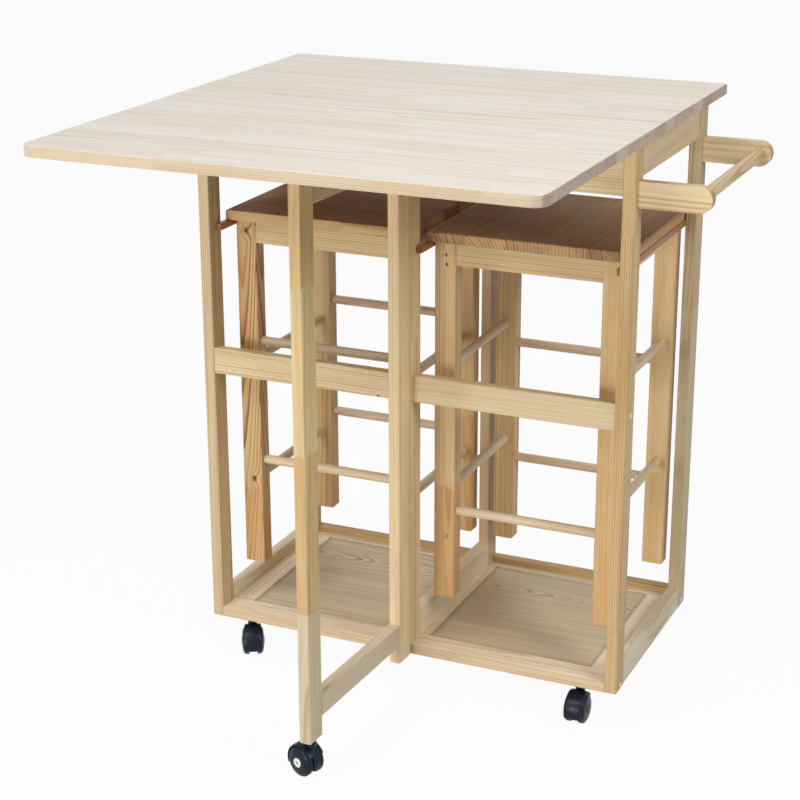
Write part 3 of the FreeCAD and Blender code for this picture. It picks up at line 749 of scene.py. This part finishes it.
# %% Spin an outline
millimetre = 1 / mm_per_metre
full_turn = 2 * math.pi
spin_steps = 64
merge_mm = 0.01
along_axle = Vector((0, 1, 0))
upright = Vector((0, 0, 1))


def turned(outline, axis, start, angle, steps):
    # The outline is a list of (along the axis, off the axis) in millimetres, drawn on the side of start
    whole = angle == full_turn
    shape = bmesh.new()
    corners = [shape.verts.new((axis * along + start * off) * millimetre) for along, off in outline]
    following = corners[1:] if whole else corners[1:] + corners[:1]
    edges = [shape.edges.new(pair) for pair in zip(corners, following)]
    bmesh.ops.spin(shape, geom=corners + edges, cent=(0, 0, 0), axis=axis, dvec=(0, 0, 0), angle=angle,
                   steps=steps, use_merge=whole)
    bmesh.ops.remove_doubles(shape, verts=shape.verts, dist=merge_mm * millimetre)
    return shape


def everything(shape):
    return shape.verts[:] + shape.edges[:] + shape.faces[:]


def turned_pair(outline):
    shape = turned(outline, along_axle, upright, full_turn, spin_steps)
    # A merge distance below zero leaves the two halves apart
    bmesh.ops.mirror(shape, geom=everything(shape), axis="Y", merge_dist=-1)
    bmesh.ops.recalc_face_normals(shape, faces=shape.faces)
    return shape


print("a full turn has", spin_steps, "steps")

# %% [markdown]
# ## Caster wheels
# A twin-wheel furniture caster has two thin moulded wheels on one axle, with a fixed web between them.
# The outline of one wheel has a flat inner face, a tread with soft corners, a fine groove round the rim,
# and a domed outer face with a shallow seat for the cap. The second wheel is the mirror image of the
# first. The outline is kept to the solid's own radius and width, so that the wheels still roll where the
# joints say.

# %% Outline of a wheel
wheel_radius = 22.0
wheel_inside = 6.0
tread_outside = 13.0
dome_outside = 17.0
rim_radius = 20.4
cap_seat_radius = 7.4
cap_seat_depth = 0.4
cap_seat_slope = 0.2
inner_corner = (1.1, 1.2)
inner_corner_middle = (0.35, 0.4)
outer_corner = (1.0, 0.9)
outer_corner_middle = (0.25, 0.3)
groove = 0.3
dome_shoulder = 0.2
dome_steps = 10


def wheel_outline():
    points = [
        (wheel_inside, 0.0),
        (wheel_inside, wheel_radius - inner_corner[1]),
        (wheel_inside + inner_corner_middle[0], wheel_radius - inner_corner_middle[1]),
        (wheel_inside + inner_corner[0], wheel_radius),
        (tread_outside - outer_corner[0], wheel_radius),
        (tread_outside - outer_corner_middle[0], wheel_radius - outer_corner_middle[1]),
        (tread_outside, wheel_radius - outer_corner[1]),
        (tread_outside - groove, rim_radius + groove),
    ]
    dome_start = tread_outside + dome_shoulder
    for step in range(dome_steps + 1):
        angle = quarter_turn * (1 - step / dome_steps)
        points.append((dome_start + (dome_outside - dome_start) * math.cos(angle),
                       cap_seat_radius + (rim_radius - cap_seat_radius) * math.sin(angle)))
    cap_seat = dome_outside - cap_seat_depth
    return points + [(cap_seat, cap_seat_radius - cap_seat_slope), (cap_seat, 0.0)]


print("outline points", len(wheel_outline()))

# %% [markdown]
# The pair is put on each caster with the place and turn of its rolling joint, and rides on that
# caster's wheels. A sharp edge angle keeps the groove crisp while the dome shades smoothly.

# %% Place the wheels
crease_angle = math.radians(32)
casters = ("front_left", "front_right", "back_left", "back_right", "gate")
joints = {joint["name"]: joint for joint in frame["joints"]}


def on_axle(caster):
    roll_joint = joints[caster + "_roll"]
    axis = Vector(roll_joint["axis"])
    swivel = Matrix.Rotation(math.atan2(-axis.x, axis.y), 4, "Z")
    return Matrix.Translation(Vector(roll_joint["pos_m"])) @ swivel


def finished(shape, name, material, body):
    mesh = bpy.data.meshes.new(name)
    shape.to_mesh(mesh)
    shape.free()
    mesh.polygons.foreach_set("use_smooth", [True] * len(mesh.polygons))
    mesh.set_sharp_from_angle(angle=crease_angle)
    mesh.materials.append(material)
    piece = bpy.data.objects.new(name, mesh)
    bpy.context.scene.collection.objects.link(piece)
    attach(piece, body)
    return piece


for caster in casters:
    pair = turned_pair(wheel_outline())
    bmesh.ops.transform(pair, matrix=on_axle(caster), verts=pair.verts)
    wheels = finished(pair, "wheel_pair_" + caster, black_nylon, caster + "_wheels")
    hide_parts("caster_wheels_" + caster)
print("wheels have", len(wheels.data.polygons), "faces")

# %% [markdown]
# ## Axle caps
# A push-on cap closes each end of the axle. On the gate leg's caster it is white, and the end of the
# steel axle shows as a grey dot in its middle. The photograph shows no white on the other casters, so
# theirs are black and closed. All are small turned shapes on the same axle: the cap has a rounded rim
# and a dished middle, and the axle's end is slightly domed.

# %% Caps and axle ends
cap_stand = 0.8
cap_low = dome_outside - cap_seat_depth
cap_high = dome_outside + cap_stand
cap_radius = 6.9
cap_corner = (0.5, 0.7)
cap_corner_middle = (0.15, 0.25)
cap_dish_depth = 0.4
cap_dish_edge = (0.05, 0.6)
cap_dish_clearance = 0.1
axle_end_radius = 2.6
axle_end_lift = 0.2
axle_end_low = cap_low + axle_end_lift
axle_end_corner = (0.2, 0.4)
axle_end_crown = 0.1
cap_outline = [
    (cap_low, 0.0),
    (cap_low, cap_radius),
    (cap_high - cap_corner[0], cap_radius),
    (cap_high - cap_corner_middle[0], cap_radius - cap_corner_middle[1]),
    (cap_high, cap_radius - cap_corner[1]),
    (cap_high - cap_dish_edge[0], axle_end_radius + cap_dish_edge[1]),
    (cap_high - cap_dish_depth, axle_end_radius + cap_dish_clearance),
    (cap_high - cap_dish_depth, 0.0),
]
axle_end_outline = [
    (axle_end_low, 0.0),
    (axle_end_low, axle_end_radius),
    (cap_high - axle_end_corner[0], axle_end_radius),
    (cap_high, axle_end_radius - axle_end_corner[1]),
    (cap_high + axle_end_crown, 0.0),
]
axle_trims = [("axle_caps_", caster, cap_outline, black_nylon, "caster_wheels") for caster in casters[:-1]]
axle_trims.append(("axle_caps_", "gate", cap_outline, white_cap, "white_caps"))
axle_trims.append(("axle_ends_", "gate", axle_end_outline, zinc, "hinge_steel"))
for name, caster, outline, material, slot in axle_trims:
    pair = turned_pair(outline)
    bmesh.ops.transform(pair, matrix=on_axle(caster), verts=pair.verts)
    finished(pair, name + caster, material, caster + "_wheels")
print("axle trims", len(axle_trims))

# %% [markdown]
# ## Caster hoods
# The hood is one nylon moulding: a crowned strip over both wheels, a web between them that carries the
# axle, and a collar with the stem that turns in the leg. The strip's section is drawn at the hood's low
# end and is swept about the axle over the top. The web is a disc with its lower part sawn off flat, and
# the collar is turned and sawn off aslant where it meets the strip. Every outer edge gets the small
# radius that a mould leaves.

# %% Close, ease and saw a shape
mould_radius = 0.5
mould_segments = 2
mould_edge = math.radians(40)
saw_touch_mm = 0.001


def closed_and_eased(shape):
    open_edges = [edge for edge in shape.edges if edge.is_boundary]
    bmesh.ops.holes_fill(shape, edges=open_edges, sides=0)
    bmesh.ops.recalc_face_normals(shape, faces=shape.faces)
    sharp = [edge for edge in shape.edges if edge.is_manifold and edge.calc_face_angle() > mould_edge]
    bmesh.ops.bevel(shape, geom=sharp, offset=mould_radius * millimetre, offset_type="OFFSET",
                    segments=mould_segments, profile=0.5, affect="EDGES", material=-1, clamp_overlap=True)
    return shape


def sawn(shape, place, kept_side):
    bmesh.ops.bisect_plane(shape, geom=everything(shape), dist=saw_touch_mm * millimetre,
                           plane_co=Vector(place) * millimetre, plane_no=kept_side, clear_inner=True)
    return shape


print("edges over", round(math.degrees(mould_edge)), "degrees are eased by", mould_radius, "mm")

# %% [markdown]
# The three shapes have named sizes in millimetres from the axle, with the stem behind it. The hood keeps
# to the solid's sizes within half a millimetre, but its low end is a little higher, which gives the
# photograph's notch over the wheels.

# %% Hood shapes
hood_inside = 22.8
hood_outside = 24.8
hood_crown = 1.2
hood_half_width = 13.0
hood_low = math.radians(-21)
hood_high = math.radians(150)
hood_steps = 60
crown_steps = 8
web_half_width = 5.5
web_radius = 23.4
web_low = -9.0
stem_back = -11.0
stem_radius = 3.9
stem_high = 46.0
collar_radius = 7.0
collar_low = 12.0
collar_high = 35.6
collar_steps = 48
collar_saw_slope = 0.54
collar_saw_height = 19.8


def hood_strip():
    section = []
    for step in range(crown_steps + 1):
        share = 2 * step / crown_steps - 1
        section.append((-share * hood_half_width, hood_outside + hood_crown * (1 - share ** 2)))
    section += [(-hood_half_width, hood_inside), (hood_half_width, hood_inside)]
    start = Vector((math.cos(hood_low), 0, math.sin(hood_low)))
    return closed_and_eased(turned(section, -along_axle, start, hood_high - hood_low, hood_steps))


def hood_web():
    section = [(-web_half_width, 0.0), (-web_half_width, web_radius), (web_half_width, web_radius),
               (web_half_width, 0.0)]
    disc = turned(section, along_axle, upright, full_turn, spin_steps)
    return closed_and_eased(sawn(disc, (0, 0, web_low), upright))


def hood_collar():
    section = [(collar_low, 0.0), (collar_low, collar_radius), (collar_high, collar_radius),
               (collar_high, stem_radius), (stem_high, stem_radius), (stem_high, 0.0)]
    collar = turned(section, upright, Vector((1, 0, 0)), full_turn, collar_steps)
    bmesh.ops.translate(collar, vec=Vector((stem_back, 0, 0)) * millimetre, verts=collar.verts)
    kept_side = Vector((-collar_saw_slope, 0, 1)).normalized()
    return closed_and_eased(sawn(collar, (stem_back, 0, collar_saw_height), kept_side))


hood_shapes = (hood_strip, hood_web, hood_collar)
for make in hood_shapes:
    shape = make()
    open_edges = sum(not edge.is_manifold for edge in shape.edges)
    volume = round(shape.calc_volume() * mm_per_metre ** 3)
    print(make.__name__, "faces", len(shape.faces), "open edges", open_edges, "volume", volume)
    shape.free()

# %% [markdown]
# The three shapes are joined into one mesh for each caster. It takes the place of the plain solid, and
# rides on the part of the caster that swivels but doesn't roll.

# %% Place the hoods
for caster in casters:
    hood = bmesh.new()
    for make in hood_shapes:
        shape = make()
        joined = bpy.data.meshes.new("hood_shape")
        shape.to_mesh(joined)
        shape.free()
        hood.from_mesh(joined)
        bpy.data.meshes.remove(joined)
    bmesh.ops.transform(hood, matrix=on_axle(caster), verts=hood.verts)
    piece = finished(hood, "hood_" + caster, black_nylon, caster + "_fork")
    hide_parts("caster_fork_" + caster)
print("hoods have", len(piece.data.polygons), "faces")

# %% [markdown]
# ## Floor and background
# The photograph is a cut-out on white. The floor is plain and pale and keeps a faint shadow, and the
# background is white to the camera and to mirror-like reflections only, so no extra light falls on the
# wood.

# %% White to the camera, plain to the wood
floor_half_size = 8.0
floor_roughness = 0.9
floor_white_share = 0.95
background_white_share = 1.0
ambient_strength = 0.09


def white_to_camera(tree, plain, glow_kind, glow_colour, share, output):
    rays = add(tree, "LightPath").node.outputs
    seen = add(tree, "Math", {0: rays["Is Camera Ray"], 1: rays["Is Glossy Ray"]}, operation="MAXIMUM")
    seen = add(tree, "Math", {0: seen, 1: rays["Is Transmission Ray"]}, operation="MAXIMUM")
    seen = add(tree, "Math", {0: seen, 1: share}, operation="MULTIPLY")
    glow = add(tree, glow_kind, {"Color": linear(glow_colour), "Strength": 1.0})
    mixed = add(tree, "MixShader", {0: seen, 1: plain, 2: glow})
    tree.links.new(mixed, tree.nodes[output].inputs["Surface"])


floor_mesh = bpy.data.meshes.new("floor")
shape = bmesh.new()
bmesh.ops.create_grid(shape, x_segments=1, y_segments=1, size=floor_half_size)
shape.to_mesh(floor_mesh)
shape.free()
floor = bpy.data.objects.new("floor", floor_mesh)
bpy.context.scene.collection.objects.link(floor)
floor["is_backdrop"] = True
# Matt studio paint: pale, without a highlight
floor_paint = bpy.data.materials.new("pale_studio_floor")
floor_paint.use_nodes = True
paint = floor_paint.node_tree.nodes["Principled BSDF"]
paint.inputs["Base Color"].default_value = linear("cfcecb")
paint.inputs["Roughness"].default_value = floor_roughness
white_to_camera(floor_paint.node_tree, paint.outputs[0], "Emission", "ffffff", floor_white_share,
                "Material Output")
floor_mesh.materials.append(floor_paint)

world = bpy.data.worlds.new("soft_studio")
bpy.context.scene.world = world
world.use_nodes = True
ambient = world.node_tree.nodes["Background"]
ambient.inputs["Color"].default_value = linear("f7f8fb")
ambient.inputs["Strength"].default_value = ambient_strength
white_to_camera(world.node_tree, ambient.outputs[0], "Background", "fcfcfc", background_white_share,
                "World Output")
print("floor and background")

# %% [markdown]
# ## Light
# Four soft boxes light the table. The high one in front gives the top and the front faces their tone,
# and a low one in front reaches the posts and the tray under the top. One high at the back keeps the top
# even from edge to edge, and one at the right lights the end with the towel rail. Their powers were
# settled by rendering each lamp alone and comparing the sum with the photograph.

# %% Lamps
aim = Vector((0, 0, 0.45))
# Place and side of each box in metres, and power in watts
lamps = {
    "front_softbox": (Vector((-1.0, -2.2, 3.3)), 2.0, 74.0),
    "low_front_softbox": (Vector((-0.7, -3.4, 0.55)), 1.0, 47.0),
    "back_softbox": (Vector((-0.6, 2.4, 2.9)), 2.0, 26.0),
    "right_softbox": (Vector((2.7, -0.9, 2.3)), 1.4, 46.0),
}
for name, (place, side, power) in lamps.items():
    lamp_data = bpy.data.lights.new(name, "AREA")
    lamp_data.shape = "SQUARE"
    lamp_data.size = side
    lamp_data.energy = power
    lamp = bpy.data.objects.new(name, lamp_data)
    lamp.location = place
    lamp.rotation_euler = (aim - place).to_track_quat("-Z", "Y").to_euler()
    bpy.context.scene.collection.objects.link(lamp)
bpy.context.scene.view_settings.view_transform = "Standard"
print("lamps", list(lamps))

# %% [markdown]
# ## Size
# The looks must not outgrow the solids, so the box of everything shown is printed.

# %% Print the visual box
low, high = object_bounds()
print("visual box", [round(v, 3) for v in high - low])
